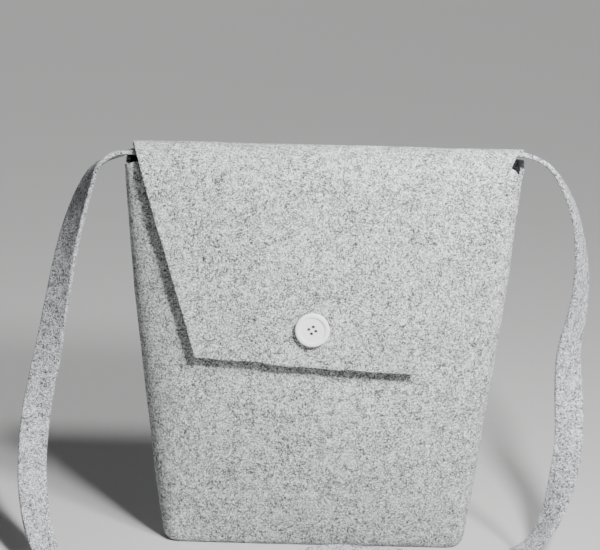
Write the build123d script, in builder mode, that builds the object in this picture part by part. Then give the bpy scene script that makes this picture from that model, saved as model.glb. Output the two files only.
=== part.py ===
"""Felt shoulder bag with a boxed base, a trapezoid flap, a decorative button over a magnetic snap
and a felt shoulder strap.

Millimetres. +Z is up, the front faces -Y and +X is to the right. The origin is the centre of the
flat base, on the surface that the bag stands on.
"""
from build123d import *
import os
from math import atan2, cos, degrees, radians, sin, tan

os.makedirs("parts", exist_ok=True)

# ---- Driving dimensions -------------------------------------------------------------------------
FELT = 3.0                # thickness of every felt sheet
GAP = 0.3                 # clearance between bodies that move

# Outer outline of the body at each height: (height, width, depth, corner radius)
BODY_LEVELS = [
    (0, 202, 54, 14),
    (10, 216, 62, 18),
    (40, 224, 64, 18),
    (115, 241, 60, 16),
    (190, 255, 46, 12),
    (270, 263, 30, 5),
]
MOUTH_LEFT = 268.0        # height of the mouth's edge at the left side, and at the right
MOUTH_RIGHT = 264.5

# Seam allowances inside the bag
SEAM_ALLOWANCE = 8.0      # how far they stand in from the wall
SEAM_TOP = 232            # trimmed below the strap ends
STITCH_PITCH = 6.0
STITCH_LENGTH = 3.8
STITCH_WIDTH = 0.9
STITCH_HEIGHT = 0.5

# Flap: a strip over the mouth and a hanging trapezoid. Side view points are (y, z) on the
# middle of the sheet.
BACK_HINGE = (12.5, 277.0)
FLAP_CREST = (2.0, 279.5)
CREASE_HEIGHT = 270.0
FLAP_LEAN = 7.0 / 75.0    # run over rise of the hanging part, as of the front panel behind it
CREST_RADIUS = 18.0
FOLD_LEFT = -127.0        # ends of the fold at the back hinge
FOLD_RIGHT = 129.5
CREASE_LEFT = -120.0      # ends of the front crease
CREASE_RIGHT = 120.5
FLAP_CORNERS = [(-83.0, 142.5), (65.0, 133.5)]   # lower left and right corner, (x, z)

# Strap: a flat band, 20 wide. It leaves the mouth at both top corners.
STRAP_WIDTH = 20.0
STRAP_AXIS = (0.0, 274.0)   # (y, z) of the line through both strap ends
STRAP_END_BOTTOM = 236.0    # lower end of the sewn-in tab
STRAP_END_TOP = 137.7       # |x| where the sewn-in end stops
STRAP_BEND_RADIUS = 6.0
STRAP_START = STRAP_END_TOP + GAP
SECTION_STEP = 13.0         # spacing of the band's sections along its route

# Route of the free strap from the left corner to the right one: point, then the heading of the
# band's width seen from above, in degrees from +X. The loop stands on the floor before the bag, and
# its heading grows by a full turn, because the strap is twisted once.
STRAP_ROUTE = [
    (-STRAP_START, 0, 274, 90),
    (-147.5, 0, 273, 98),
    (-156, 2, 258, 116),
    (-164.5, 4, 238, 126),
    (-174.5, 5, 205, 139),
    (-183, 7, 165, 150),
    (-191, 8, 125, 164),
    (-199.5, 2, 86, 184),
    (-199.5, -22, 53, 204),
    (-191.5, -51, 22, 222),
    (-176, -75, 4, 240),
    (-147, -90, 1.5, 255),
    (-104, -92, 1.5, 276),
    (-62, -80, 1.5, 293),
    (-22, -60, 3.5, 296),
    (13, -49, 6.5, 280),
    (46, -48.5, 3.5, 271),
    (80, -49, 2, 269),
    (112, -49.5, 2, 270),
    (137, -49, 5, 276),
    (154, -46, 15, 284),
    (166, -39, 34, 300),
    (173, -28, 58, 320),
    (177.5, -16, 80, 341),
    (177, -3, 108, 367),
    (175, 5, 140, 389),
    (181.5, 8, 172, 405),
    (180, 8, 200, 418),
    (175, 6, 226, 430),
    (167, 4, 246, 434),
    (157, 2, 262, 438),
    (146.5, 0, 273.2, 444),
    (STRAP_START, 0, 274, 450),
]

# Button and snap, on one axis square to the front panel
BUTTON_X = -4.8
BUTTON_Z = 163.7
BUTTON_RADIUS = 11.5
BUTTON_HEIGHT = 3.0
BUTTON_STANDOFF = 1.3     # room for the stud washer and its bent prongs
RIM_INNER_RADIUS = 8.9
DISH_DEPTH = 0.7
HOLE_PITCH = 3.4
HOLE_RADIUS = 1.15
HOLE_TURN = 32.0
THREAD_RADIUS = 0.6
THREAD_REACH = 1.2        # how far a leg of thread stands in the button's hole
SNAP_GAP = 4.8            # felt to felt, flap to front panel
SNAP_RADIUS = 9.0
SOCKET_HEIGHT = 3.0
STUD_HEIGHT = SNAP_GAP - SOCKET_HEIGHT - GAP
NUB_RADIUS = 2.5
NUB_LENGTH = 1.4
SOCKET_BORE = 3.1
WASHER_HEIGHT = 0.5
WASHER_HOLE = 4.2
PRONG_SPACING = 6.2       # distance of each prong from the snap's axis
PRONG_WIDTH = 2.4
PRONG_THICKNESS = 0.6
PRONG_SLOT_ROOM = 0.1     # clearance round a prong in the felt and the washer


# ---- Shared geometry ----------------------------------------------------------------------------
def body_level(z):
    """Outer width, depth and corner radius of the body at a height, straight between the levels."""
    for low, high in zip(BODY_LEVELS, BODY_LEVELS[1:]):
        if z <= high[0] or high is BODY_LEVELS[-1]:
            part = (z - low[0]) / (high[0] - low[0])
            return [a + (b - a) * part for a, b in zip(low[1:], high[1:])]


def body_sections(inset, heights):
    """Rounded rectangles of the body's outline at the given heights, moved in by the inset."""
    sections = []
    for z in heights:
        width, depth, radius = body_level(z)
        with BuildSketch(Plane.XY.offset(z)) as section:
            RectangleRounded(width - 2 * inset, depth - 2 * inset, max(radius - inset, 1.5))
        sections.append(section.sketch)
    return sections


def wall_x(z):
    """Half of the body's outer width at a height."""
    return body_level(z)[0] / 2


def front_y(z):
    """Outer face of the front panel at a height."""
    return -body_level(z)[1] / 2


level_heights = [level[0] for level in BODY_LEVELS]
outer_sections = body_sections(0, level_heights)
inner_sections = body_sections(FELT, [FELT] + level_heights[1:])
side_heights = [10, 40, 115, 190, SEAM_TOP]

# What is cut off above the mouth, in X and Z: its edge falls a little to the right.
with BuildSketch(Plane.XZ) as above_mouth:
    with BuildLine():
        Polyline((-140, MOUTH_LEFT), (140, MOUTH_RIGHT), (140, 280), (-140, 280), close=True)
    make_face()

# Snap axis: square to the front panel's face. Its z_dir points out of the bag, towards the viewer.
snap_normal = Vector(0, -1, FLAP_LEAN).normalized()
front_face = Plane(origin=(BUTTON_X, front_y(BUTTON_Z), BUTTON_Z), x_dir=(1, 0, 0), z_dir=snap_normal)
panel_inner_face = front_face.offset(-FELT)
flap_inner_face = front_face.offset(SNAP_GAP)
flap_outer_face = flap_inner_face.offset(FELT)
button_back_face = flap_outer_face.offset(BUTTON_STANDOFF)

# The hanging part's middle line, square to the snap axis, meets the crease's height here.
flap_middle = flap_inner_face.offset(FELT / 2).origin
front_crease = (flap_middle.Y + FLAP_LEAN * (CREASE_HEIGHT - flap_middle.Z), CREASE_HEIGHT)

prong_places = [(-PRONG_SPACING, 0), (PRONG_SPACING, 0)]
hole_places = [
    (HOLE_PITCH / 2 ** 0.5 * cos(radians(HOLE_TURN + 90 * k + 45)),
     HOLE_PITCH / 2 ** 0.5 * sin(radians(HOLE_TURN + 90 * k + 45)))
    for k in range(4)
]


def seam_outline(side):
    """Outline, in X and Z, of a side seam allowance with its outer edge inside the wall."""
    outer = [(side * (wall_x(z) - FELT / 2), z) for z in side_heights]
    inner = [(side * (wall_x(z) - FELT - SEAM_ALLOWANCE), z) for z in reversed(side_heights)]
    return outer + inner


def seam_line(side):
    """Places and slopes of the stitches along the middle of a side seam allowance."""
    places = []
    z = side_heights[0] + 8
    while z < SEAM_TOP - 4:
        rise = wall_x(z + 1) - wall_x(z)
        x = side * (wall_x(z) - FELT - SEAM_ALLOWANCE / 2)
        places.append(Location((x, z, 0), (0, 0, degrees(atan2(1, side * rise)))))
        z += STITCH_PITCH
    return places


# ---- Felt panels --------------------------------------------------------------------------------
# The front panel wraps to the middle of both sides and of the base. Its edges turn in there as
# seam allowances, face to face with those of the back panel.
base_seam_half = wall_x(0) - 7
with BuildPart() as front_panel:
    loft(sections=outer_sections, ruled=True)
    loft(sections=inner_sections, ruled=True, mode=Mode.SUBTRACT)
    extrude(above_mouth.sketch, amount=40, both=True, mode=Mode.SUBTRACT)
    split(bisect_by=Plane.XZ, keep=Keep.TOP)
    with BuildSketch(Plane.XZ) as front_allowances:
        with BuildLine():
            Polyline(*seam_outline(-1), close=True)
        make_face()
        with BuildLine():
            Polyline(*seam_outline(1), close=True)
        make_face()
        with Locations((0, (FELT + SEAM_ALLOWANCE) / 2 + FELT / 2)):
            Rectangle(2 * base_seam_half, SEAM_ALLOWANCE + FELT / 2)
    extrude(amount=FELT)
    with BuildSketch(front_face):
        with Locations(*prong_places):
            Rectangle(PRONG_THICKNESS + 2 * PRONG_SLOT_ROOM, PRONG_WIDTH + 2 * PRONG_SLOT_ROOM)
    extrude(amount=-2 * FELT, mode=Mode.SUBTRACT)
front_panel.part.label = "front_panel"

# The back panel is the same on its own side, and stands higher, up to the flap's hinge.
back_top = BACK_HINGE[1] - FELT / 2 - GAP
back_join = 260
with BuildPart() as back_panel:
    loft(sections=outer_sections, ruled=True)
    loft(sections=inner_sections, ruled=True, mode=Mode.SUBTRACT)
    extrude(above_mouth.sketch, amount=40, both=True, mode=Mode.SUBTRACT)
    split(bisect_by=Plane.XZ, keep=Keep.BOTTOM)
    with BuildSketch(Plane.XZ) as back_allowances:
        with BuildLine():
            Polyline(*seam_outline(-1), close=True)
        make_face()
        with BuildLine():
            Polyline(*seam_outline(1), close=True)
        make_face()
        with Locations((0, (FELT + SEAM_ALLOWANCE) / 2 + FELT / 2)):
            Rectangle(2 * base_seam_half, SEAM_ALLOWANCE + FELT / 2)
    extrude(amount=-FELT)
    with BuildSketch(Plane.YZ.offset(FOLD_LEFT)):
        with BuildLine():
            Polyline(
                (-front_y(back_join) - FELT, back_join),
                (-front_y(back_join), back_join),
                (BACK_HINGE[0] + FELT / 2, back_top),
                (BACK_HINGE[0] - FELT / 2, back_top),
                close=True,
            )
        make_face()
    extrude(amount=FOLD_RIGHT - FOLD_LEFT)
back_panel.part.label = "back_panel"

# Strip over the mouth. Its back edge is a round knuckle on the hinge line, and its front edge stops
# short of the knuckle of the hanging part.
crease_run = Vector(*front_crease) - Vector(*FLAP_CREST)
strip_end = Vector(*front_crease) - crease_run.normalized() * (FELT / 2 + GAP)
with BuildPart() as flap_top:
    with BuildSketch(Plane.YZ.offset(FOLD_LEFT)):
        with BuildLine():
            strip_line = FilletPolyline(
                BACK_HINGE, FLAP_CREST, (strip_end.X, strip_end.Y), radius=CREST_RADIUS
            )
        trace(strip_line, line_width=FELT)
        with Locations(BACK_HINGE):
            Circle(FELT / 2)
    extrude(amount=FOLD_RIGHT - FOLD_LEFT)
    with BuildSketch(Plane.XY.offset(back_join)):
        with BuildLine():
            Polyline(
                (FOLD_LEFT, BACK_HINGE[0] + FELT),
                (FOLD_RIGHT, BACK_HINGE[0] + FELT),
                (CREASE_RIGHT, front_crease[0]),
                (CREASE_LEFT, front_crease[0]),
                close=True,
            )
        make_face()
    extrude(amount=40, mode=Mode.INTERSECT)
flap_top.part.label = "flap_top"

# Hanging trapezoid. Its top edge is a round knuckle on the front crease.
flap_drop = front_crease[1] - 120.0
flap_foot = (front_crease[0] - FLAP_LEAN * flap_drop, front_crease[1] - flap_drop)
with BuildPart() as flap_front:
    with BuildSketch(Plane.YZ.offset(FOLD_LEFT)):
        with BuildLine():
            hang_line = Line(front_crease, flap_foot)
        trace(hang_line, line_width=FELT)
        with Locations(front_crease):
            Circle(FELT / 2)
    extrude(amount=FOLD_RIGHT - FOLD_LEFT)
    with BuildSketch(Plane.XZ):
        with BuildLine():
            Polyline(
                (CREASE_LEFT, front_crease[1] + FELT),
                (CREASE_LEFT, front_crease[1]),
                *FLAP_CORNERS,
                (CREASE_RIGHT, front_crease[1]),
                (CREASE_RIGHT, front_crease[1] + FELT),
                close=True,
            )
        make_face()
    extrude(amount=60, mode=Mode.INTERSECT)
    with BuildSketch(flap_inner_face):
        with Locations(*prong_places):
            Rectangle(PRONG_THICKNESS + 2 * PRONG_SLOT_ROOM, PRONG_WIDTH + 2 * PRONG_SLOT_ROOM)
        with Locations(*hole_places):
            Circle(THREAD_RADIUS + 0.05)
    extrude(amount=FELT, both=True, mode=Mode.SUBTRACT)
flap_front.part.label = "flap_front"


# ---- Seam threads -------------------------------------------------------------------------------
# Rows of short flat stitches that lie on the seam allowances, one row on each side.
def side_thread(side):
    with BuildPart() as thread:
        for plane, grow in ((Plane.XZ.offset(FELT), 1), (Plane.XZ.offset(-FELT), -1)):
            with BuildSketch(plane):
                with Locations(*seam_line(side)):
                    SlotOverall(STITCH_LENGTH, STITCH_WIDTH)
            extrude(amount=grow * STITCH_HEIGHT)
    return thread.part


with BuildPart() as side_seam_thread_left:
    add(side_thread(-1))
side_seam_thread_left.part.label = "side_seam_thread_left"

with BuildPart() as side_seam_thread_right:
    add(side_thread(1))
side_seam_thread_right.part.label = "side_seam_thread_right"

base_stitches = int(2 * (base_seam_half - 10) / STITCH_PITCH)
base_stitch_z = FELT + SEAM_ALLOWANCE / 2
with BuildPart() as base_seam_thread:
    for plane, grow in ((Plane.XZ.offset(FELT), 1), (Plane.XZ.offset(-FELT), -1)):
        with BuildSketch(plane):
            with Locations((0, base_stitch_z)):
                with GridLocations(STITCH_PITCH, 1, base_stitches, 1):
                    SlotOverall(STITCH_LENGTH, STITCH_WIDTH)
        extrude(amount=grow * STITCH_HEIGHT)
base_seam_thread.part.label = "base_seam_thread"

# The box corners are sewn from front to back across each end of the base.
corner_seam_x = wall_x(FELT) - FELT - 6
corner_places = [(sign * (7 + STITCH_PITCH * k)) for sign in (-1, 1) for k in range(3)]


def corner_thread(side):
    with BuildPart() as thread:
        with BuildSketch(Plane.XY.offset(FELT)):
            with Locations(*[(side * corner_seam_x, y) for y in corner_places]):
                SlotOverall(STITCH_LENGTH, STITCH_WIDTH, rotation=90)
        extrude(amount=STITCH_HEIGHT)
    return thread.part


with BuildPart() as corner_seam_thread_left:
    add(corner_thread(-1))
corner_seam_thread_left.part.label = "corner_seam_thread_left"

with BuildPart() as corner_seam_thread_right:
    add(corner_thread(1))
corner_seam_thread_right.part.label = "corner_seam_thread_right"


# ---- Strap --------------------------------------------------------------------------------------
# Each sewn-in end lies inside a side wall, then bends over its edge and points outwards.
tab_room = 0.1
wall_slope = (wall_x(260) - wall_x(200)) / 60


def tab_x(z):
    """Middle of the sewn-in end inside the right wall, at a height."""
    return wall_x(260) + wall_slope * (z - 260) - FELT - tab_room - FELT / 2


def strap_end(side):
    with BuildPart() as end:
        with BuildSketch(Plane.XZ):
            with BuildLine():
                end_line = FilletPolyline(
                    (side * tab_x(STRAP_END_BOTTOM), STRAP_END_BOTTOM),
                    (side * tab_x(STRAP_AXIS[1]), STRAP_AXIS[1]),
                    (side * STRAP_END_TOP, STRAP_AXIS[1]),
                    radius=STRAP_BEND_RADIUS,
                )
            trace(end_line, line_width=FELT)
        extrude(amount=STRAP_WIDTH / 2, both=True)
    return end.part


with BuildPart() as strap_end_left:
    add(strap_end(-1))
strap_end_left.part.label = "strap_end_left"

with BuildPart() as strap_end_right:
    add(strap_end(1))
strap_end_right.part.label = "strap_end_right"

# Free loop: straight runs joined by tangent arcs, each as large as its two runs allow. The flat
# band is lofted through sections square to that line.
route = [Vector(x, y, z) for x, y, z, heading in STRAP_ROUTE]
headings = [heading for x, y, z, heading in STRAP_ROUTE]
arc_radii = []
for before, here, after in zip(route, route[1:], route[2:]):
    half_turn = radians((here - before).get_angle(after - here) / 2)
    shorter_run = min((here - before).length, (after - here).length)
    arc_radii.append(0.45 * shorter_run / tan(half_turn))
print("strap arc radii:", [round(radius) for radius in arc_radii])
strap_line = FilletPolyline(*route, radius=arc_radii)

route_reach = [0.0]
for before, here in zip(route, route[1:]):
    route_reach.append(route_reach[-1] + (here - before).length)


def heading_at(share):
    """Heading of the band's width at a share of the route, straight between the route's points."""
    reach = share * route_reach[-1]
    for k in range(len(route) - 1):
        if reach <= route_reach[k + 1] or k == len(route) - 2:
            part = (reach - route_reach[k]) / (route_reach[k + 1] - route_reach[k])
            return headings[k] + (headings[k + 1] - headings[k]) * part


section_count = round(strap_line.length / SECTION_STEP)
band_sections = []
for k in range(section_count + 1):
    share = k / section_count
    heading = radians(heading_at(share))
    along = strap_line % share
    across = Vector(cos(heading), sin(heading), 0)
    across = (across - along * across.dot(along)).normalized()
    with BuildSketch(Plane(origin=strap_line @ share, x_dir=across, z_dir=along)) as band_section:
        Rectangle(STRAP_WIDTH, FELT)
    band_sections.append(band_section.sketch)

with BuildPart() as strap:
    loft(sections=band_sections, ruled=True)
strap.part.label = "strap"
print("strap length:", round(strap_line.length, 1), "volume / (section x length):",
      round(strap.part.volume / (STRAP_WIDTH * FELT * strap_line.length), 4))

# The ends are sewn through the side walls with a box of stitches, seen inside and outside.
stitch_box_width = 13.0
stitch_box_height = 22.0
stitch_box_z = 250.0
wall_normal = Vector(1, 0, -wall_slope).normalized()


def strap_stitch(side):
    rows = [(sign * stitch_box_width / 2, up, 90)
            for sign in (-1, 1) for up in (-8.25, -2.75, 2.75, 8.25)]
    rows += [(across, sign * stitch_box_height / 2, 0) for sign in (-1, 1) for across in (-3, 3)]
    outward = Vector(side * wall_normal.X, 0, wall_normal.Z)
    wall_face = Plane(origin=(side * wall_x(stitch_box_z), 0, stitch_box_z), x_dir=(0, 1, 0), z_dir=outward)
    tab_face = wall_face.offset(-(2 * FELT + tab_room))
    with BuildPart() as stitches:
        for plane, grow in ((wall_face, 1), (tab_face, -1)):
            with BuildSketch(plane):
                for across, up, turn in rows:
                    with Locations((across, side * up)):
                        SlotOverall(STITCH_LENGTH, STITCH_WIDTH, rotation=turn)
            extrude(amount=grow * STITCH_HEIGHT)
    return stitches.part


with BuildPart() as strap_stitch_left:
    add(strap_stitch(-1))
strap_stitch_left.part.label = "strap_stitch_left"

with BuildPart() as strap_stitch_right:
    add(strap_stitch(1))
strap_stitch_right.part.label = "strap_stitch_right"


# ---- Button -------------------------------------------------------------------------------------
with BuildPart() as button:
    with BuildSketch(button_back_face):
        Circle(BUTTON_RADIUS)
    extrude(amount=BUTTON_HEIGHT)
    fillet(button.faces().sort_by(Axis.Y)[0].edges(), radius=1.1)
    fillet(button.faces().sort_by(Axis.Y)[-1].edges(), radius=0.8)
    with BuildSketch(button_back_face.offset(BUTTON_HEIGHT - DISH_DEPTH)):
        Circle(RIM_INNER_RADIUS)
    extrude(amount=2 * DISH_DEPTH, mode=Mode.SUBTRACT)
    with BuildSketch(button_back_face):
        with Locations(*hole_places):
            Circle(HOLE_RADIUS)
    extrude(amount=BUTTON_HEIGHT, mode=Mode.SUBTRACT)
button.part.label = "button"

# Four legs of thread hold the button. They end inside its holes, so none shows over its face.
leg_length = FELT + BUTTON_STANDOFF + THREAD_REACH
with BuildPart() as button_thread:
    with BuildSketch(flap_inner_face):
        with Locations(*hole_places):
            Circle(THREAD_RADIUS)
    extrude(amount=leg_length)
button_thread.part.label = "button_thread"


# ---- Magnetic snap ------------------------------------------------------------------------------
# Socket on the front panel: a cup with a magnet ring inside and two prongs through the felt.
magnet_radius = 7.2
magnet_height = 1.8
prong_reach = FELT + WASHER_HEIGHT
prong_foot = 2.2
with BuildPart() as snap_socket:
    with BuildSketch(front_face):
        Circle(SNAP_RADIUS)
        Circle(SOCKET_BORE, mode=Mode.SUBTRACT)
    extrude(amount=SOCKET_HEIGHT)
    fillet(snap_socket.faces().sort_by(Axis.Y)[0].edges(), radius=0.4)
    with BuildSketch(front_face.offset(0.4)):
        Circle(magnet_radius + 0.05)
        Circle(SOCKET_BORE + 0.7, mode=Mode.SUBTRACT)
    extrude(amount=magnet_height + 0.1, mode=Mode.SUBTRACT)
    with BuildSketch(front_face):
        with Locations(*prong_places):
            Rectangle(PRONG_THICKNESS, PRONG_WIDTH)
    extrude(amount=-prong_reach)
    with BuildSketch(front_face.offset(-prong_reach)):
        for side in (-1, 1):
            with Locations((side * (PRONG_SPACING - prong_foot / 2 + PRONG_THICKNESS / 2), 0)):
                Rectangle(prong_foot, PRONG_WIDTH)
    extrude(amount=-PRONG_THICKNESS)
snap_socket.part.label = "snap_socket"

with BuildPart() as snap_magnet:
    with BuildSketch(front_face.offset(0.45)):
        Circle(magnet_radius)
        Circle(SOCKET_BORE + 0.75, mode=Mode.SUBTRACT)
    extrude(amount=magnet_height)
snap_magnet.part.label = "snap_magnet"

with BuildPart() as snap_socket_washer:
    with BuildSketch(panel_inner_face):
        Circle(SNAP_RADIUS)
        Circle(WASHER_HOLE, mode=Mode.SUBTRACT)
        with Locations(*prong_places):
            Rectangle(PRONG_THICKNESS + 2 * PRONG_SLOT_ROOM, PRONG_WIDTH + 2 * PRONG_SLOT_ROOM,
                      mode=Mode.SUBTRACT)
    extrude(amount=-WASHER_HEIGHT)
snap_socket_washer.part.label = "snap_socket_washer"

# Stud on the flap: a disc with a nub that drops into the socket, and two prongs through the felt.
with BuildPart() as snap_stud:
    with BuildSketch(flap_inner_face):
        Circle(SNAP_RADIUS)
    extrude(amount=-STUD_HEIGHT)
    fillet(snap_stud.faces().sort_by(Axis.Y)[-1].edges(), radius=0.4)
    with BuildSketch(flap_inner_face.offset(-STUD_HEIGHT)):
        Circle(NUB_RADIUS)
    extrude(amount=-NUB_LENGTH)
    with BuildSketch(flap_inner_face):
        with Locations(*prong_places):
            Rectangle(PRONG_THICKNESS, PRONG_WIDTH)
    extrude(amount=prong_reach)
    with BuildSketch(flap_inner_face.offset(prong_reach)):
        for side in (-1, 1):
            with Locations((side * (PRONG_SPACING - prong_foot / 2 + PRONG_THICKNESS / 2), 0)):
                Rectangle(prong_foot, PRONG_WIDTH)
    extrude(amount=PRONG_THICKNESS)
snap_stud.part.label = "snap_stud"

with BuildPart() as snap_stud_washer:
    with BuildSketch(flap_outer_face):
        Circle(SNAP_RADIUS)
        Circle(WASHER_HOLE, mode=Mode.SUBTRACT)
        with Locations(*prong_places):
            Rectangle(PRONG_THICKNESS + 2 * PRONG_SLOT_ROOM, PRONG_WIDTH + 2 * PRONG_SLOT_ROOM,
                      mode=Mode.SUBTRACT)
    extrude(amount=WASHER_HEIGHT)
snap_stud_washer.part.label = "snap_stud_washer"


# ---- Export -------------------------------------------------------------------------------------
for piece in (
    front_panel, back_panel, flap_top, flap_front,
    side_seam_thread_left, side_seam_thread_right, base_seam_thread,
    corner_seam_thread_left, corner_seam_thread_right,
    strap, strap_end_left, strap_end_right, strap_stitch_left, strap_stitch_right,
    button, button_thread,
    snap_socket, snap_magnet, snap_socket_washer, snap_stud, snap_stud_washer,
):
    export_step(piece.part, f"parts/{piece.part.label}.step")
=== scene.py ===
"""Looks for the felt shoulder bag: melange felt sheets, the strap band, stitches, button and snap.

Metres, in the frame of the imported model: +Z up, the front faces -Y, +X is to the right.
"""
from math import cos, pi, radians, sin, sqrt

import bmesh
import bpy
import numpy as np
from mathutils import Matrix, Vector, noise


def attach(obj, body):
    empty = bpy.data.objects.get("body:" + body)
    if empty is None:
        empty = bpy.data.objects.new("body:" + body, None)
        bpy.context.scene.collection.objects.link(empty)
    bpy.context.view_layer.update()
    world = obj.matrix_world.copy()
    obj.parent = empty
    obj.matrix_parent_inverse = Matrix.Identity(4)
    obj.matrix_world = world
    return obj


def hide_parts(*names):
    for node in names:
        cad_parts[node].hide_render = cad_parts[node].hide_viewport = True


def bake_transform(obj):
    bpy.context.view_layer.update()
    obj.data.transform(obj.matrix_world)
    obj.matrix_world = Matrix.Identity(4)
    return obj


noise.seed_set(7)          # noise_vector is offset at random unless it is seeded
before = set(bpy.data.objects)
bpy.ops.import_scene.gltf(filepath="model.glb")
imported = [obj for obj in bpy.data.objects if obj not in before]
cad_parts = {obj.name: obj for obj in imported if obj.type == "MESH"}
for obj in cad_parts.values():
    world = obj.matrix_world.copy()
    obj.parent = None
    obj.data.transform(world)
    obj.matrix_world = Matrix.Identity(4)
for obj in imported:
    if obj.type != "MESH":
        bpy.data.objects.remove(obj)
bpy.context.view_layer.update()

# ---- Driving dimensions ---------------------------------------------------------------------------
FELT = 0.003
CUT_EDGE = 0.0005          # rounding of the felt's cut edges
STEP = 0.0024              # size of the felt sheets' faces

# Outer outline of the body: height, width, depth, corner radius
BODY_LEVELS = [
    (0.010, 0.216, 0.062, 0.012),
    (0.040, 0.224, 0.064, 0.016),
    (0.115, 0.241, 0.060, 0.021),
    (0.190, 0.255, 0.046, 0.016),
    (0.270, 0.263, 0.030, 0.007),
]
LEVEL_BLUR = 0.012         # heights over which one level runs into the next
BELOW_LEVELS = (0.26, 0.07)    # loss of width and of depth per height below the lowest level
ABOVE_LEVELS = (-0.10, 0.20)   # and above the highest one
# How much further the corners reach across than front to back: height, ratio
CORNER_STRETCH = [(0.005, 1.0), (0.060, 1.6), (0.130, 2.1), (0.200, 2.0), (0.262, 1.0)]
BASE_ROUND = 0.006         # height of the rounded lower edge
BASE_INSET = (0.0035, 0.003)   # how far that edge draws in, across and front to back
BASE_RISE = 0.0005         # how far the base seam lies above the floor
BASE_SEAM_SHORT = 0.007    # how far the base seam ends inside the side walls

# Ramps are (start, length)
FRONT_SWELL = 0.0042       # how far the lower front and back stand out between the corners
SWELL_RISE = (-0.012, 0.085)
SWELL_FALL = (0.080, 0.060)
FLARE = 0.0028             # how far the strap pulls out the right side wall's rear half at its top
FLARE_HEIGHTS = (0.247, 0.026)
FLARE_ACROSS = (0.118, 0.010)
FLARE_DEPTHS = (0.008, 0.007)

# (x, z) of the front panel's upper edge, which rises from the panel's rows above MOUTH_START
MOUTH = [(-0.1315, 0.2690), (-0.1240, 0.2720), (0.1250, 0.2730), (0.1310, 0.2650)]
MOUTH_BLUR = 0.0015        # length over which the corners of that edge are rounded
MOUTH_START = 0.235
WALL_TOP = 0.270           # where the body's rows end before the mouth is cut
SEAM_ROUND = 0.0032        # radius at which a panel turns in at a seam
SEAM_GAP = 0.00005         # between a panel's seam allowance and the middle plane
SEAM_ALLOWANCE = 0.011
SEAM_FADE = (0.230, 0.010)     # heights over which the turned-in edge ends at the mouth
SEAM_KEPT = 0.12           # share of its overhang that the allowance keeps where it passes a corner
BACK_JOIN = 0.262          # where the back panel runs on as the fold
SIDE_TOP_REACH = 0.0115    # length of the fold line from BACK_JOIN to where the side walls end
SIDE_TOP_RAMP = (0.0005, 0.006)    # depths over which the back's edge rises from the seam to the fold
CORNER_SHARE = 2           # columns of each corner that run on into the fold
FOLD_STEP = 0.0016         # size of the fold's faces

# Side view of the sheet that runs from the back over the mouth and down the front: (y, z) of its middle
FOLD_LINE = [
    (0.01360, 0.2550), (0.01345, 0.2620), (0.01270, 0.2695), (0.01050, 0.2758), (0.0055, 0.2800),
    (-0.0020, 0.2817), (-0.0095, 0.2802), (-0.0165, 0.2755), (-0.0207, 0.2684), (-0.0228, 0.2600),
    (-0.02355, 0.2520),
]
FLAP_SPLIT = -0.0020       # depth at which the fold's rear half meets its front half
FOLD_LEFT = -0.1270        # ends of the fold at FLAP_SPLIT
FOLD_RIGHT = 0.1300
FLAP_LEFT_CORNER = (-0.0830, 0.1425)   # (x, z)
FLAP_RIGHT_CORNER = (0.0652, 0.1345)
FLAP_ROWS = 78
FLAP_PACKING = 0.62        # size of the flap's first row of faces against the average one
# Hand-cut lower edge of the flap: steps (x, length, height), then waves (per metre, height, place of noise)
CUT_STEPS = [(-0.036, 0.0015, 0.0009), (0.014, 0.002, -0.0006)]
CUT_WAVES = [(60, 0.0005, 3.1, 0.4), (210, 0.0003, 7.7, 1.2)]

# Strap: points of its route, then the heading and the tip of its width in degrees at each point
STRAP_WIDTH = 0.020
STRAP_EDGE = 0.0009        # rounding of the strap's cut edges
STRAP_END_COUNT = 30       # points along a sewn-in end
STRAP_ROUTE = [
    (-0.1380, 0.0000, 0.2728), (-0.1475, 0.0000, 0.2690), (-0.1562, 0.0020, 0.2570),
    (-0.1645, 0.0040, 0.2380), (-0.1745, 0.0050, 0.2050), (-0.1830, 0.0070, 0.1650),
    (-0.1910, 0.0080, 0.1250), (-0.1995, 0.0020, 0.0860), (-0.1995, -0.0220, 0.0530),
    (-0.1915, -0.0510, 0.0220), (-0.1760, -0.0750, 0.0040), (-0.1470, -0.0900, 0.0015),
    (-0.1040, -0.0920, 0.0015), (-0.0620, -0.0800, 0.0015), (-0.0220, -0.0600, 0.0035),
    (0.0130, -0.0490, 0.0065), (0.0460, -0.0485, 0.0035), (0.0800, -0.0490, 0.0020),
    (0.1120, -0.0495, 0.0020), (0.1370, -0.0490, 0.0050), (0.1540, -0.0460, 0.0150),
    (0.1660, -0.0390, 0.0340), (0.1730, -0.0280, 0.0580), (0.1775, -0.0160, 0.0800),
    (0.1770, -0.0030, 0.1080), (0.1750, 0.0050, 0.1400), (0.1815, 0.0080, 0.1720),
    (0.1800, 0.0080, 0.2000), (0.1758, 0.0060, 0.2260), (0.1684, 0.0040, 0.2460),
    (0.1588, 0.0020, 0.2628), (0.1485, 0.0000, 0.2745), (0.1380, 0.0000, 0.2779),
]
STRAP_FACING = [
    (90, -16), (98, -14), (116, -8), (126, 0), (139, 0), (150, 0), (164, 0), (184, 0), (204, 0), (222, 0),
    (240, 0), (255, 0), (276, 0), (293, 0), (296, 0), (280, 0), (271, 0), (269, 0), (270, 3), (276, 14),
    (284, 12), (300, 5), (320, 0), (341, 0), (367, 0), (389, 0), (405, 0), (418, 0), (430, -2), (434, -5),
    (438, -8), (444, -10), (450, -10),
]
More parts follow.
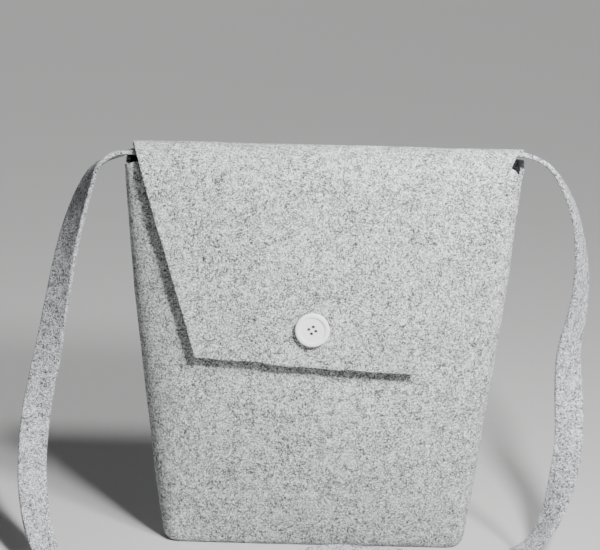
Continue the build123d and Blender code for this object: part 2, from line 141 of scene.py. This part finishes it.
STRAP_END_ROUTES = {       # the sewn-in ends, from their lower edge to where the loop starts
    "left": [
        (-0.1253, 0.0, 0.2360), (-0.1257, 0.0, 0.2460), (-0.1250, 0.0, 0.2540), (-0.1220, 0.0, 0.2620),
        (-0.1185, 0.0, 0.2690), (-0.1190, 0.0, 0.2757), (-0.1285, 0.0, 0.2760), (-0.1380, 0.0, 0.2728),
    ],
    "right": [
        (0.1253, 0.0, 0.2360), (0.1257, 0.0, 0.2460), (0.1246, 0.0, 0.2540), (0.1205, 0.0, 0.2620),
        (0.1160, 0.0, 0.2690), (0.1170, 0.0, 0.2775), (0.1290, 0.0, 0.2812), (0.1380, 0.0, 0.2779),
    ],
}

# Camera: what it looks at, from where, and how it was held
CAMERA_TARGET = (-0.013895, 0.0, 0.191458)
CAMERA_ELEVATION = 18.0
CAMERA_DISTANCE = 0.900
CAMERA_ROLL = 1.4
CAMERA_LENS = 78.753


# ---- Helpers --------------------------------------------------------------------------------------
def smoothstep(x):
    x = np.clip(x, 0, 1)
    return x * x * (3 - 2 * x)


def ramp(x, start, length):
    """0 before the start, 1 a length further on, and smooth between them."""
    return smoothstep((x - start) / length)


def evenly(points, count):
    """The same line with its points evenly spaced."""
    reach = lengths_along(points)
    at = np.linspace(0, reach[-1], count)
    return np.column_stack([np.interp(at, reach, points[:, k]) for k in range(points.shape[1])])


def lengths_along(points):
    steps = np.linalg.norm(np.diff(points, axis=0), axis=1)
    return np.concatenate([[0.0], np.cumsum(steps)])


def unit(v):
    return v / np.maximum(np.linalg.norm(v, axis=-1, keepdims=True), 1e-12)


UNEVENNESS = [(38.0, 0.00045), (150.0, 0.00012), (520.0, 0.00007)]     # waves per metre, height


def felt_unevenness(p):
    """Small hand-made unevenness of felt at a place, the same for every sheet that passes there."""
    return sum((noise.noise_vector(p * scale) * height for scale, height in UNEVENNESS), Vector())


def mesh_object(name, points, faces):
    mesh = bpy.data.meshes.new(name)
    mesh.from_pydata([tuple(p) for p in points], [], faces)
    mesh.update()
    obj = bpy.data.objects.new(name, mesh)
    bpy.context.scene.collection.objects.link(obj)
    return obj


def surface_normals(points, faces):
    """Outward normals at the points of a sheet of four-cornered faces."""
    corners = points[np.array(faces)]
    square = np.cross(corners[:, 2] - corners[:, 0], corners[:, 3] - corners[:, 1])
    normals = np.zeros_like(points)
    for k in range(4):
        np.add.at(normals, np.array(faces)[:, k], square)
    return unit(normals)


def felt_solid(name, points, faces, joined=lambda p: False):
    """A closed felt sheet, 3 mm thick, inside the given outer points, with softened cut edges.

    Where joined(p) is true the felt runs on in another piece, so its edge isn't rounded there."""
    count = len(points)
    inner = points - FELT * surface_normals(points, faces)
    sides = {(a, b) for face in faces for a, b in zip(face, face[1:] + face[:1])}
    rim = sorted((a, b) for a, b in sides if (b, a) not in sides)
    solid = list(faces)
    solid += [tuple(count + k for k in reversed(face)) for face in faces]
    solid += [(b, a, count + a, count + b) for a, b in rim]
    obj = mesh_object(name, np.vstack([points, inner]), solid)
    bm = bmesh.new()
    bm.from_mesh(obj.data)
    bm.verts.ensure_lookup_table()
    cut = []
    for a, b in rim:
        if joined(bm.verts[a].co) and joined(bm.verts[b].co):
            continue
        for first, second in ((a, b), (count + a, count + b)):
            cut.append(bm.edges.get((bm.verts[first], bm.verts[second])))
    bmesh.ops.bevel(bm, geom=cut, offset=CUT_EDGE, segments=2, profile=0.5, affect="EDGES", clamp_overlap=True)
    for v in bm.verts:
        v.co += felt_unevenness(v.co)
        v.co.z = max(v.co.z, 0.0)
    bmesh.ops.recalc_face_normals(bm, faces=bm.faces)
    bm.to_mesh(obj.data)
    bm.free()
    soften(obj, 50)
    return obj


def soften(obj, angle):
    """Smooth shading, except over edges sharper than the angle."""
    obj.data.shade_smooth()
    obj.data.set_sharp_from_angle(angle=radians(angle))


def nurbs_line(places):
    """Points along the smooth line that has the given places as its control points."""
    curve = bpy.data.curves.new("line", "CURVE")
    curve.dimensions = "3D"
    curve.resolution_u = 14
    spline = curve.splines.new("NURBS")
    spline.points.add(len(places) - 1)
    for point, place in zip(spline.points, places):
        point.co = (*place, 1.0)
    spline.order_u = 3
    spline.use_endpoint_u = True
    obj = bpy.data.objects.new("line", curve)
    bpy.context.scene.collection.objects.link(obj)
    bpy.context.view_layer.update()
    line = bpy.data.meshes.new_from_object(obj.evaluated_get(bpy.context.evaluated_depsgraph_get()))
    points = np.array([v.co for v in line.vertices], float)
    bpy.data.objects.remove(obj)
    bpy.data.curves.remove(curve)
    bpy.data.meshes.remove(line)
    return points


# ---- Camera ---------------------------------------------------------------------------------------
def make_camera():
    elevation, roll = radians(CAMERA_ELEVATION), radians(CAMERA_ROLL)
    back = Vector((0, -cos(elevation), sin(elevation)))
    level_up = Vector((0, sin(elevation), cos(elevation)))
    right = Vector((1, 0, 0)) * cos(roll) + level_up * sin(roll)
    up = level_up * cos(roll) - Vector((1, 0, 0)) * sin(roll)
    data = bpy.data.cameras.new("camera")
    data.lens = CAMERA_LENS
    data.sensor_width = 36.0
    camera = bpy.data.objects.new("camera", data)
    bpy.context.scene.collection.objects.link(camera)
    place = Matrix((right, up, back)).transposed().to_4x4()
    place.translation = Vector(CAMERA_TARGET) + back * CAMERA_DISTANCE
    camera.matrix_world = place
    bpy.context.scene.camera = camera


make_camera()


# ---- Materials ------------------------------------------------------------------------------------
class Nodes:
    """Short forms for building a material's nodes."""

    def __init__(self, name):
        self.material = bpy.data.materials.new(name)
        self.material.use_nodes = True
        self.tree = self.material.node_tree
        self.shader = self.tree.nodes["Principled BSDF"]
        self.place = self.tree.nodes.new("ShaderNodeTexCoord").outputs["Object"]

    def link(self, source, target):
        if isinstance(source, (int, float)):
            target.default_value = source
        else:
            self.tree.links.new(source, target)

    def math(self, operation, a, b=0.0, clamp=False):
        node = self.tree.nodes.new("ShaderNodeMath")
        node.operation = operation
        node.use_clamp = clamp
        self.link(a, node.inputs[0])
        self.link(b, node.inputs[1])
        return node.outputs[0]

    def mapped(self, turn=(0, 0, 0), stretch=(1, 1, 1), shift=(0, 0, 0)):
        """The place in axes turned by degrees and stretched along them."""
        node = self.tree.nodes.new("ShaderNodeMapping")
        node.vector_type = "TEXTURE"
        node.inputs["Rotation"].default_value = [radians(a) for a in turn]
        node.inputs["Scale"].default_value = stretch
        node.inputs["Location"].default_value = shift
        self.tree.links.new(self.place, node.inputs["Vector"])
        return node.outputs[0]

    def noise(self, vector, scale, detail=2.0, roughness=0.5, distortion=0.0):
        node = self.tree.nodes.new("ShaderNodeTexNoise")
        node.inputs["Scale"].default_value = scale
        node.inputs["Detail"].default_value = detail
        node.inputs["Roughness"].default_value = roughness
        node.inputs["Distortion"].default_value = distortion
        self.tree.links.new(vector, node.inputs["Vector"])
        return node.outputs["Fac"]

    def spread(self, value, low, high, to_low=0.0, to_high=1.0):
        node = self.tree.nodes.new("ShaderNodeMapRange")
        node.interpolation_type = "SMOOTHSTEP"
        for name, number in (("From Min", low), ("From Max", high), ("To Min", to_low), ("To Max", to_high)):
            node.inputs[name].default_value = number
        self.tree.links.new(value, node.inputs["Value"])
        return node.outputs["Result"]

    def mix(self, factor, a, b):
        node = self.tree.nodes.new("ShaderNodeMix")
        node.data_type = "RGBA"
        self.link(factor, node.inputs["Factor"])
        for colour, target in ((a, node.inputs["A"]), (b, node.inputs["B"])):
            if isinstance(colour, tuple):
                target.default_value = (*colour, 1.0)
            else:
                self.tree.links.new(colour, target)
        return node.outputs["Result"]

    def bump(self, height, strength, distance):
        node = self.tree.nodes.new("ShaderNodeBump")
        node.inputs["Strength"].default_value = strength
        node.inputs["Distance"].default_value = distance
        self.tree.links.new(height, node.inputs["Height"])
        self.tree.links.new(node.outputs["Normal"], self.shader.inputs["Normal"])


FIBRE_TURNS = [(32, 0, 0), (-32, 0, 0), (0, 58, 0), (0, -58, 0), (90, 0, 32), (90, 0, -32)]
DARK_FIBRES = (1600, 2.3)      # fibres across a metre, length against thickness
LIGHT_FIBRES = (1500, 2.0)
FELT_SHADE = 0.40              # between the darkest and the lightest fibres
DARKEST, LIGHTEST = 0.03, 0.92


def melange_felt(name, tint):
    """Grey felt pressed from light and dark fibres: specks and short strands in all directions."""
    n = Nodes(name)
    straight = n.mapped()
    blotches = n.noise(straight, 44, detail=3.0, roughness=0.62)
    clumps = n.noise(straight, 190, detail=2.0, roughness=0.6, distortion=0.3)
    mottle = n.noise(straight, 560, detail=1.5, roughness=0.6, distortion=0.3)
    grain = n.noise(straight, 1500, detail=1.0, roughness=0.6)

    def fibres(turn, kind, shift, low, high):
        scale, length = kind
        return n.spread(n.noise(n.mapped(turn, (1, 1, length), shift), scale, 0.6, 0.5, 0.5), low, high)

    dark = None
    light = None
    for k, turn in enumerate(FIBRE_TURNS):
        dark_here = fibres(turn, DARK_FIBRES, (0.37 * k, 0.11, 0.23 * k), 0.60, 0.71)
        dark = dark_here if dark is None else n.math("MAXIMUM", dark, dark_here)
        if k % 2 == 0:
            light_here = fibres(turn, LIGHT_FIBRES, (1.7, 0.61 * k, 0.4), 0.57, 0.68)
            light = light_here if light is None else n.math("MAXIMUM", light, light_here)
    crowding = n.spread(clumps, 0.36, 0.64, 1.1, 0.5)
    shade = FELT_SHADE
    for value, amount in ((blotches, 0.30), (clumps, 0.45), (mottle, 1.25), (grain, 2.2)):
        shade = n.math("ADD", n.math("MULTIPLY", n.math("SUBTRACT", value, 0.5), amount), shade)
    shade = n.math("ADD", shade, n.math("MULTIPLY", light, 0.45))
    shade = n.math("SUBTRACT", shade, n.math("MULTIPLY", n.math("MULTIPLY", dark, crowding), 0.40), clamp=True)
    low = tuple(DARKEST * c for c in tint)
    high = tuple(LIGHTEST * c for c in tint)
    n.link(n.mix(shade, low, high), n.shader.inputs["Base Color"])
    n.shader.inputs["Roughness"].default_value = 0.93
    n.shader.inputs["Specular IOR Level"].default_value = 0.25
    n.shader.inputs["Sheen Weight"].default_value = 0.12
    n.shader.inputs["Sheen Roughness"].default_value = 0.55
    relief = n.math("ADD", n.math("MULTIPLY", grain, 0.6), n.math("MULTIPLY", mottle, 0.9))
    relief = n.math("ADD", relief, n.math("MULTIPLY", n.math("SUBTRACT", light, dark), 0.25))
    n.bump(relief, 0.7, 0.0007)
    return n.material


def thread(name, dark, light):
    """Spun thread: slanting plies along each stitch."""
    n = Nodes(name)
    plies = n.noise(n.mapped((45, 30, 45), (1, 1, 0.15)), 2600, 2.0, 0.5, 0.2)
    n.link(n.mix(n.spread(plies, 0.35, 0.65), dark, light), n.shader.inputs["Base Color"])
    n.shader.inputs["Roughness"].default_value = 0.7
    n.shader.inputs["Sheen Weight"].default_value = 0.2
    n.bump(plies, 0.6, 0.0002)
    return n.material


def resin(name):
    """White pressed button: glossy, with a faint cloudiness and fine wear."""
    n = Nodes(name)
    cloud = n.noise(n.mapped(), 160, 3.0, 0.6, 0.3)
    scuffs = n.noise(n.mapped((10, 40, 25), (1, 0.12, 1)), 1900, 2.0, 0.6)
    n.link(n.mix(cloud, (0.95, 0.95, 0.94), (0.99, 0.99, 0.985)), n.shader.inputs["Base Color"])
    n.link(n.spread(scuffs, 0.35, 0.75, 0.12, 0.30), n.shader.inputs["Roughness"])
    n.shader.inputs["Coat Weight"].default_value = 0.5
    n.shader.inputs["Coat Roughness"].default_value = 0.08
    n.shader.inputs["Subsurface Weight"].default_value = 0.08
    n.shader.inputs["Subsurface Scale"].default_value = 0.002
    n.bump(scuffs, 0.08, 0.0001)
    return n.material


def plated(name, dark, light):
    """Nickel-plated pressed metal with fine turning marks."""
    n = Nodes(name)
    marks = n.noise(n.mapped((0, 0, 0), (1, 6, 1)), 900, 3.0, 0.6)
    n.link(n.mix(marks, dark, light), n.shader.inputs["Base Color"])
    n.link(n.spread(marks, 0.3, 0.7, 0.22, 0.38), n.shader.inputs["Roughness"])
    n.shader.inputs["Metallic"].default_value = 1.0
    n.bump(marks, 0.1, 0.0001)
    return n.material


def floor_paper(name):
    """Pale matt backdrop paper."""
    n = Nodes(name)
    fibres = n.noise(n.mapped(), 180, 3.0, 0.6)
    n.link(n.mix(fibres, (0.48, 0.48, 0.475), (0.52, 0.52, 0.515)), n.shader.inputs["Base Color"])
    n.shader.inputs["Roughness"].default_value = 0.9
    return n.material


felt = melange_felt("melange_felt", (0.97, 0.99, 1.0))
strap_felt = melange_felt("strap_melange_felt", (0.94, 0.96, 1.0))
seam_thread = thread("seam_thread", (0.22, 0.22, 0.225), (0.62, 0.62, 0.63))
# The button's thread is near black: painted shade that stands in for the shade inside the button's holes.
button_thread_painted_shade = thread("button_thread", (0.02, 0.02, 0.022), (0.10, 0.10, 0.105))
white_resin = resin("white_resin")
nickel = plated("nickel", (0.50, 0.50, 0.49), (0.72, 0.71, 0.70))
magnet_plating = plated("magnet_plating", (0.22, 0.22, 0.23), (0.36, 0.36, 0.37))


def dress(obj, material):
    """Gives a piece its one material."""
    obj.data.materials.clear()
    obj.data.materials.append(material)
    return obj


# ---- Strap ----------------------------------------------------------------------------------------
def facing_vectors(facing):
    """Directions of the band's width, from their headings and tips in degrees."""
    heading, tip = np.radians(np.array(facing, float)).T
    return np.column_stack([np.cos(heading) * np.cos(tip), np.sin(heading) * np.cos(tip), np.sin(tip)])


def band_outline():
    """Outline of the felt band, across its width and thickness, with rounded edges."""
    half_width, half_thick, r = STRAP_WIDTH / 2, FELT / 2, STRAP_EDGE
    corner = [(cos(a), sin(a)) for a in np.radians([0, 30, 60, 90])]
    flat = np.linspace(half_width - r, -(half_width - r), 12)[1:-1]
    quarter = [(half_width - r + r * c, half_thick - r + r * s) for c, s in corner]
    top = quarter + [(x, half_thick) for x in flat] + [(-x, y) for x, y in reversed(quarter)]
    return np.array(top + [(-x, -y) for x, y in top])


def band(name, centres, along, across):
    """A closed felt band along its centres."""
    outline = band_outline()
    normal = unit(np.cross(along, across))
    points = []
    for c, w, n in zip(centres, across, normal):
        for a, b in outline:
            p = Vector(c + w * a + n * b)
            p += felt_unevenness(p)
            p.z = max(p.z, 0.0)
            points.append(p)
    rows, columns = len(centres), len(outline)
    faces = []
    for i in range(rows - 1):
        for j in range(columns):
            k = (j + 1) % columns
            faces.append((i * columns + j, i * columns + k, (i + 1) * columns + k, (i + 1) * columns + j))
    faces.append(tuple(reversed(range(columns))))
    faces.append(tuple((rows - 1) * columns + j for j in range(columns)))
    obj = mesh_object(name, points, faces)
    soften(obj, 60)
    return dress(obj, strap_felt)


def make_strap():
    """The strap's loop and its two sewn-in ends, as one run of felt cut into three pieces."""
    loop = nurbs_line(STRAP_ROUTE)
    left_end = evenly(nurbs_line(STRAP_END_ROUTES["left"]), STRAP_END_COUNT)
    right_end = evenly(nurbs_line(STRAP_END_ROUTES["right"]), STRAP_END_COUNT)[::-1]
    centres = np.vstack([left_end[:-1], loop, right_end[1:]])
    first, last = len(left_end) - 1, len(left_end) + len(loop) - 2
    share = lengths_along(np.array(STRAP_ROUTE))
    reach = lengths_along(loop)
    facing = np.array(STRAP_FACING, float)
    over_loop = np.column_stack(
        [np.interp(reach / reach[-1], share / share[-1], facing[:, k]) for k in range(2)]
    )
    turn = smoothstep(np.linspace(-2.0, 1, len(left_end)))
    over_left = np.column_stack([np.full(len(turn), facing[0, 0]), facing[0, 1] * turn])
    over_right = np.column_stack([np.full(len(turn), facing[-1, 0]), facing[-1, 1] * turn])[::-1]
    across = facing_vectors(np.vstack([over_left[:-1], over_loop, over_right[1:]]))
    along = unit(np.gradient(centres, axis=0))
    across = unit(across - along * np.sum(across * along, axis=1, keepdims=True))
    left = slice(0, first + 1)
    middle = slice(first, last + 1)
    right = slice(last, len(centres))
    pieces = {}
    for name, part in (("strap_end_felt_left", left), ("strap_band", middle), ("strap_end_felt_right", right)):
        pieces[name] = band(name, centres[part], along[part], across[part])
    for side, sign in (("left", -1), ("right", 1)):
        end = pieces["strap_end_felt_" + side]
        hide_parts("strap_end_" + side)
        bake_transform(end)
    strap = pieces["strap_band"]
    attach(strap, "strap")
    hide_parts("strap")


make_strap()


# ---- Body panels ----------------------------------------------------------------------------------
SIDE_COUNT = 9             # points along a side wall, and round a corner
CORNER_COUNT = 8
FRONT_COUNT = 106
EDGE_ANGLES = radians(0), radians(18), radians(36), radians(54), radians(72), radians(90)
BASE_COUNT = 11
TURN_COUNT = 5             # points round a seam's turn, and along its allowance
ALLOWANCE_COUNT = 5
TOP_ROWS = 5               # rows of the back panel above BACK_JOIN, at its sides


def level(z):
    """Half width, half depth and corner radius of the body at a height."""
    table = np.array(BODY_LEVELS)
    near = z + np.linspace(-LEVEL_BLUR, LEVEL_BLUR, 9)
    low = np.maximum(table[0, 0] - near, 0)
    high = np.maximum(near - table[-1, 0], 0)
    near = np.clip(near, table[0, 0], table[-1, 0])
    width, depth, radius = (np.interp(near, table[:, 0], table[:, k]) for k in (1, 2, 3))
    width = width - low * BELOW_LEVELS[0] - high * ABOVE_LEVELS[0]
    depth = depth - low * BELOW_LEVELS[1] - high * ABOVE_LEVELS[1]
    return width.mean() / 2, depth.mean() / 2, radius.mean()


def mouth(x):
    """Height of the mouth's edge, with the corners between its straight runs rounded off."""
    xs, zs = np.array(MOUTH).T
    shifts = np.linspace(-MOUTH_BLUR, MOUTH_BLUR, 5)
    return np.mean([np.interp(np.asarray(x) + shift, xs, zs) for shift in shifts], axis=0)


def swell(x, z, half_width):
    """How far the front or the back stands out at a place, between the body's corners."""
    across = cos(min(1.0, abs(x) / half_width) * pi / 2)
    return FRONT_SWELL * across * float(ramp(z, *SWELL_RISE) * (1 - ramp(z, *SWELL_FALL)))


def flare(x, y, z):
    """How far the strap pulls the back panel's right side wall outwards near its top."""
    return FLARE * float(
        ramp(z, *FLARE_HEIGHTS) * ramp(x, *FLARE_ACROSS) * (1 - ramp(abs(y), *FLARE_DEPTHS)))


def section(z, draw, half_depth=None):
    """The front half of the body's outline at a height, from the left seam round to the right one.

    draw is 1 where the rounded lower edge meets the base, and 0 above that edge."""
    w, d, r = level(z)
    if half_depth is not None:
        d = half_depth
    w, d, r = w - BASE_INSET[0] * draw, d - BASE_INSET[1] * draw, r - BASE_INSET[1] * draw
    start = SEAM_GAP + SEAM_ROUND
    left = [(-w, -y) for y in np.linspace(start, d - r, SIDE_COUNT)]
    reach = r * float(np.interp(z, *np.array(CORNER_STRETCH).T))
    flat = w - reach
    turns = np.linspace(0, pi / 2, CORNER_COUNT + 1)[1:]
    left += [(-(flat + reach * cos(a)), -(d - r + r * sin(a))) for a in turns]
    face = [(x, -d - swell(x, z, flat)) for x in np.linspace(-flat, flat, FRONT_COUNT)[1:-1]]
    return np.array(left + face + [(-x, y) for x, y in reversed(left)])


def panel_rows(heights):
    """Rows of points over half the body: over the base from its seam, round the lower edge, up the wall."""
    foot = section(0.0, 1.0)
    seam_end = level(0.0)[0] - BASE_INSET[0] - BASE_SEAM_SHORT
    ends = np.linspace(-seam_end, seam_end, len(foot))
    seam = np.column_stack([ends, np.full(len(foot), -(SEAM_GAP + SEAM_ROUND))])
    rows = []
    for t in np.linspace(0, 1, BASE_COUNT, endpoint=False):
        flat = seam + (foot - seam) * t
        rows.append(np.column_stack([flat, BASE_RISE * (1 - t) * np.ones(len(flat))]))
    for a in EDGE_ANGLES:
        z = BASE_ROUND * (1 - cos(a))
        rows.append(np.column_stack([section(z, 1 - sin(a)), np.full(len(foot), z)]))
    for z in heights:
        rows.append(np.column_stack([section(z, 0.0), np.full(len(foot), z)]))
    return rows


def seam_strip(chain, start):
    """Points and faces of the edge that turns in along the side and base seams and stands inside.

    chain lists the sheet's edge points from the mouth's left corner down, over the base and up."""
    place = np.array([p for p, index in chain])
    here = place[:, [0, 2]]
    half = np.array([level(max(z, 0.0))[0] for z in here[:, 1]]) - SEAM_ALLOWANCE
    target = here.copy()
    past = np.abs(here[:, 0]) - half
    target[:, 0] = np.where(past > 0, np.sign(here[:, 0]) * (half + SEAM_KEPT * past), here[:, 0])
    short = SEAM_ALLOWANCE - here[:, 1]
    target[:, 1] = np.where(short > 0, SEAM_ALLOWANCE - SEAM_KEPT * short, here[:, 1])
    along = unit(np.gradient(here, axis=0))
    inward = np.column_stack([-along[:, 1], along[:, 0]])
    free = ramp(here[:, 1], *SEAM_FADE)
    layers = []
    count = TURN_COUNT + ALLOWANCE_COUNT
    for k in range(1, count + 1):
        if k <= TURN_COUNT:
            b = pi / 2 * k / TURN_COUNT
            flat = here + inward * SEAM_ROUND * (1 - cos(b))
            y = -(SEAM_GAP + SEAM_ROUND * (1 - sin(b)))
        else:
            bent = here + inward * SEAM_ROUND
            flat = bent + (target - bent) * (k - TURN_COUNT) / ALLOWANCE_COUNT
            y = -SEAM_GAP
        flat = flat + (here - flat) * free[:, None]
        straight = -(SEAM_GAP + SEAM_ROUND * (1 - k / count))
        layers.append(np.column_stack([flat[:, 0], y + (straight - y) * free, flat[:, 1]]))
    rings = [[index for p, index in chain]]
    for k in range(count):
        rings.append([start + k * len(chain) + i for i in range(len(chain))])
    faces = []
    for outer, inner in zip(rings, rings[1:]):
        for i in range(len(chain) - 1):
            faces.append((outer[i], outer[i + 1], inner[i + 1], inner[i]))
    return np.vstack(layers), faces


def fold_sheet_line():
    """Side view of the sheet over the mouth: evenly spaced (x = 0, y, z) on its middle line."""
    line = nurbs_line([(0.0, y, z) for y, z in FOLD_LINE])
    return evenly(line, 400)


fold_line = fold_sheet_line()


def fold_at(reach, offset):
    """(y, z) at a length along the fold's middle line, moved out from it by the offset."""
    along = unit(np.gradient(fold_line, axis=0))
    reaches = lengths_along(fold_line)
    extra = max(0.0, reach - reaches[-1])
    y, z, dy, dz = (np.interp(reach, reaches, column) for column in
                    (fold_line[:, 1], fold_line[:, 2], along[:, 1], along[:, 2]))
    size = sqrt(dy * dy + dz * dz)
    dy, dz = dy / size, dz / size
    return y + dy * extra + offset * dz, z + dz * extra - offset * dy


def rear_reach(z):
    """Length along the fold's middle line to where its rear half passes a height."""
    crest = int(np.argmax(fold_line[:, 2]))
    return float(np.interp(z, fold_line[:crest, 2], lengths_along(fold_line)[:crest]))


z_at_side_top = fold_at(rear_reach(BACK_JOIN) + SIDE_TOP_REACH, FELT / 2)[1]


def at_split(p):
    """True where the fold's rear half meets its front half."""
    return abs(p.y - FLAP_SPLIT) < 0.0004 and p.z > 0.27


def make_panel(name, back):
    """A body panel. The back one runs on upwards as the rear half of the fold over the mouth."""
    top = BACK_JOIN if back else WALL_TOP
    heights = list(np.linspace(BASE_ROUND, top, int((top - BASE_ROUND) / STEP) + 1)[1:])
    rows = panel_rows(heights)
    if not back:
        for row in rows:
            lift = ramp(row[:, 2], MOUTH_START, WALL_TOP - MOUTH_START)
            row[:, 2] += lift * (mouth(row[:, 0]) - WALL_TOP)
    columns = len(rows[0])
    reaches = lengths_along(fold_line)
    join_reach = rear_reach(BACK_JOIN)
    side_top_reach = join_reach + SIDE_TOP_REACH
    if back:
        for t in np.linspace(0, 1, TOP_ROWS + 1)[1:]:
            y, z = fold_at(join_reach + SIDE_TOP_REACH * t, FELT / 2)
            row = np.column_stack([section(z, 0.0, half_depth=y), np.full(columns, z)])
            across = ramp(-row[:, 1], *SIDE_TOP_RAMP)
            edge = mouth(row[:, 0]) + (z_at_side_top - mouth(row[:, 0])) * across
            row[:, 2] = BACK_JOIN + (edge - BACK_JOIN) * t
            rows.append(row)
    grid = np.array(rows)
    count_rows = len(grid)
    points = [grid.reshape(-1, 3)]
    faces = [
        (i * columns + j, i * columns + j + 1, (i + 1) * columns + j + 1, (i + 1) * columns + j)
        for i in range(count_rows - 1) for j in range(columns - 1)
    ]
    chain = [(grid[i, 0], i * columns) for i in range(count_rows - 1, -1, -1)]
    chain += [(grid[0, j], j) for j in range(1, columns)]
    chain += [(grid[i, -1], i * columns + columns - 1) for i in range(1, count_rows)]
    strip, strip_faces = seam_strip(chain, count_rows * columns)
    points.append(strip)
    faces += [tuple(reversed(face)) for face in strip_faces]
    if back:
        first = SIDE_COUNT + CORNER_COUNT - 1 - CORNER_SHARE
        inner_columns = range(first, columns - first)
        edge_x = grid[-1, list(inner_columns), 0]
        split_reach = float(np.interp(-FLAP_SPLIT, -fold_line[:, 1], reaches))
        steps = int((split_reach - side_top_reach) / FOLD_STEP)
        before = [(count_rows - 1) * columns + j for j in inner_columns]
        at = count_rows * columns + len(strip)
        for k in range(1, steps + 1):
            reach = side_top_reach + (split_reach - side_top_reach) * k / steps
            y, z = fold_at(reach, FELT / 2)
            share = smoothstep(k / steps)
            goal = np.interp(edge_x, [edge_x[0], edge_x[-1]], fold_edges(split_reach))
            x = edge_x + (goal - edge_x) * share
            points.append(np.column_stack([x, np.full(len(x), -y), np.full(len(x), z)]))
            now = [at + i for i in range(len(x))]
            faces += [(before[i], before[i + 1], now[i + 1], now[i]) for i in range(len(x) - 1)]
            before = now
            at += len(x)
    points = np.vstack(points)
    if back:
        points[:, 0] += [flare(x, y, z) for x, y, z in points]
        points[:, 1] *= -1
        faces = [tuple(reversed(face)) for face in faces]
    obj = felt_solid(name, points, faces, joined=lambda p: back and at_split(p))
    return dress(obj, felt)


def fold_edges(reach):
    """Left and right edge of the flap's sheet at a length along the fold's middle line."""
    from_crest = reach - float(np.interp(-FLAP_SPLIT, -fold_line[:, 1], lengths_along(fold_line)))
    left_length, right_length = flap_length(FLAP_LEFT_CORNER[1]), flap_length(FLAP_RIGHT_CORNER[1])
    left = FOLD_LEFT + (FLAP_LEFT_CORNER[0] - FOLD_LEFT) * from_crest / left_length
    right = FOLD_RIGHT + (FLAP_RIGHT_CORNER[0] - FOLD_RIGHT) * from_crest / right_length
    return left, right


def flap_length(z):
    """Length of the flap's sheet from its crest down to a height."""
    reaches = lengths_along(fold_line)
    split = float(np.interp(-FLAP_SPLIT, -fold_line[:, 1], reaches))
    drop = fold_line[-1, 2] - z
    lean = (fold_line[-1] - fold_line[-2]) / np.linalg.norm(fold_line[-1] - fold_line[-2])
    return float(reaches[-1] - split + drop / -lean[2])


def hand_cut(x):
    """Waver of the flap's hand-cut lower edge along its length."""
    steps = sum(height * ramp(x, start, length) for start, length, height in CUT_STEPS)
    return steps + sum(height * noise.noise(Vector((x * scale, a, b))) for scale, height, a, b in CUT_WAVES)


def make_flap():
    """The front half of the fold and the skewed flap that hangs from it."""
    split = float(np.interp(-FLAP_SPLIT, -fold_line[:, 1], lengths_along(fold_line)))
    columns = FRONT_COUNT
    lengths = flap_length(FLAP_LEFT_CORNER[1]), flap_length(FLAP_RIGHT_CORNER[1])
    points = []
    for i in range(FLAP_ROWS):
        t = i / (FLAP_ROWS - 1)
        t = t * (FLAP_PACKING + (1 - FLAP_PACKING) * t)
        for j in range(columns):
            s = j / (columns - 1)
            foot_x = FLAP_LEFT_CORNER[0] + (FLAP_RIGHT_CORNER[0] - FLAP_LEFT_CORNER[0]) * s
            foot = lengths[0] + (lengths[1] - lengths[0]) * s + float(hand_cut(foot_x))
            x = FOLD_LEFT + (FOLD_RIGHT - FOLD_LEFT) * s
            x += (foot_x - x) * t
            y, z = fold_at(split + foot * t, FELT / 2)
            points.append((x, y, z))
    faces = [
        (i * columns + j, (i + 1) * columns + j, (i + 1) * columns + j + 1, i * columns + j + 1)
        for i in range(FLAP_ROWS - 1) for j in range(columns - 1)
    ]
    obj = felt_solid("flap_felt", np.array(points), faces, joined=at_split)
    return dress(obj, felt)


front = make_panel("front_panel_felt", back=False)
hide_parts("front_panel")
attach(front, "bag")

rear = make_panel("back_panel_felt", back=True)
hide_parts("back_panel", "flap_top")
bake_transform(rear)

flap = make_flap()
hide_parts("flap_front")
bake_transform(flap)


# ---- Finishes of the CAD parts that stay ------------------------------------------------------------
finishes = {
    seam_thread: [
        "side_seam_thread_left", "side_seam_thread_right", "base_seam_thread", "corner_seam_thread_left",
        "corner_seam_thread_right", "strap_stitch_left", "strap_stitch_right",
    ],
    # near-black button thread: painted shade inside the button's holes
    button_thread_painted_shade: ["button_thread"],
    white_resin: ["button"],
    nickel: ["snap_socket", "snap_socket_washer", "snap_stud", "snap_stud_washer"],
    magnet_plating: ["snap_magnet"],
}
for material, names in finishes.items():
    for name in names:
        dress(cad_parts[name], material)


# ---- Floor and light -------------------------------------------------------------------------------
def make_floor():
    size, rise = 12.0, 0.0002
    points = [(-size, -size, -rise), (size, -size, -rise), (size, size, -rise), (-size, size, -rise)]
    floor = mesh_object("floor", points, [(0, 1, 2, 3)])
    floor.data.materials.append(floor_paper("floor_paper"))


def area_light(name, place, aim, size, power):
    data = bpy.data.lights.new(name, "AREA")
    data.shape = "DISK"
    data.size = size
    data.energy = power
    light = bpy.data.objects.new(name, data)
    light.location = place
    light.rotation_euler = (Vector(place) - Vector(aim)).to_track_quat("Z", "Y").to_euler()
    bpy.context.scene.collection.objects.link(light)


def sun_light(name, direction, strength, spread):
    data = bpy.data.lights.new(name, "SUN")
    data.energy = strength
    data.angle = radians(spread)
    light = bpy.data.objects.new(name, data)
    light.rotation_euler = Vector(direction).to_track_quat("Z", "Y").to_euler()
    bpy.context.scene.collection.objects.link(light)


make_floor()
area_light("key", (0.24, -0.42, 0.60), (0, 0, 0.17), 0.12, 9.0)
sun_light("daylight", (0.78, -0.56, 1.10), 2.7, 8)
sun_light("back_fill", (-0.30, 0.90, 0.50), 0.7, 40)
world = bpy.data.worlds.new("studio")
world.use_nodes = True
world.node_tree.nodes["Background"].inputs["Color"].default_value = (0.93, 0.95, 1.0, 1)
world.node_tree.nodes["Background"].inputs["Strength"].default_value = 0.02
bpy.context.scene.world = world
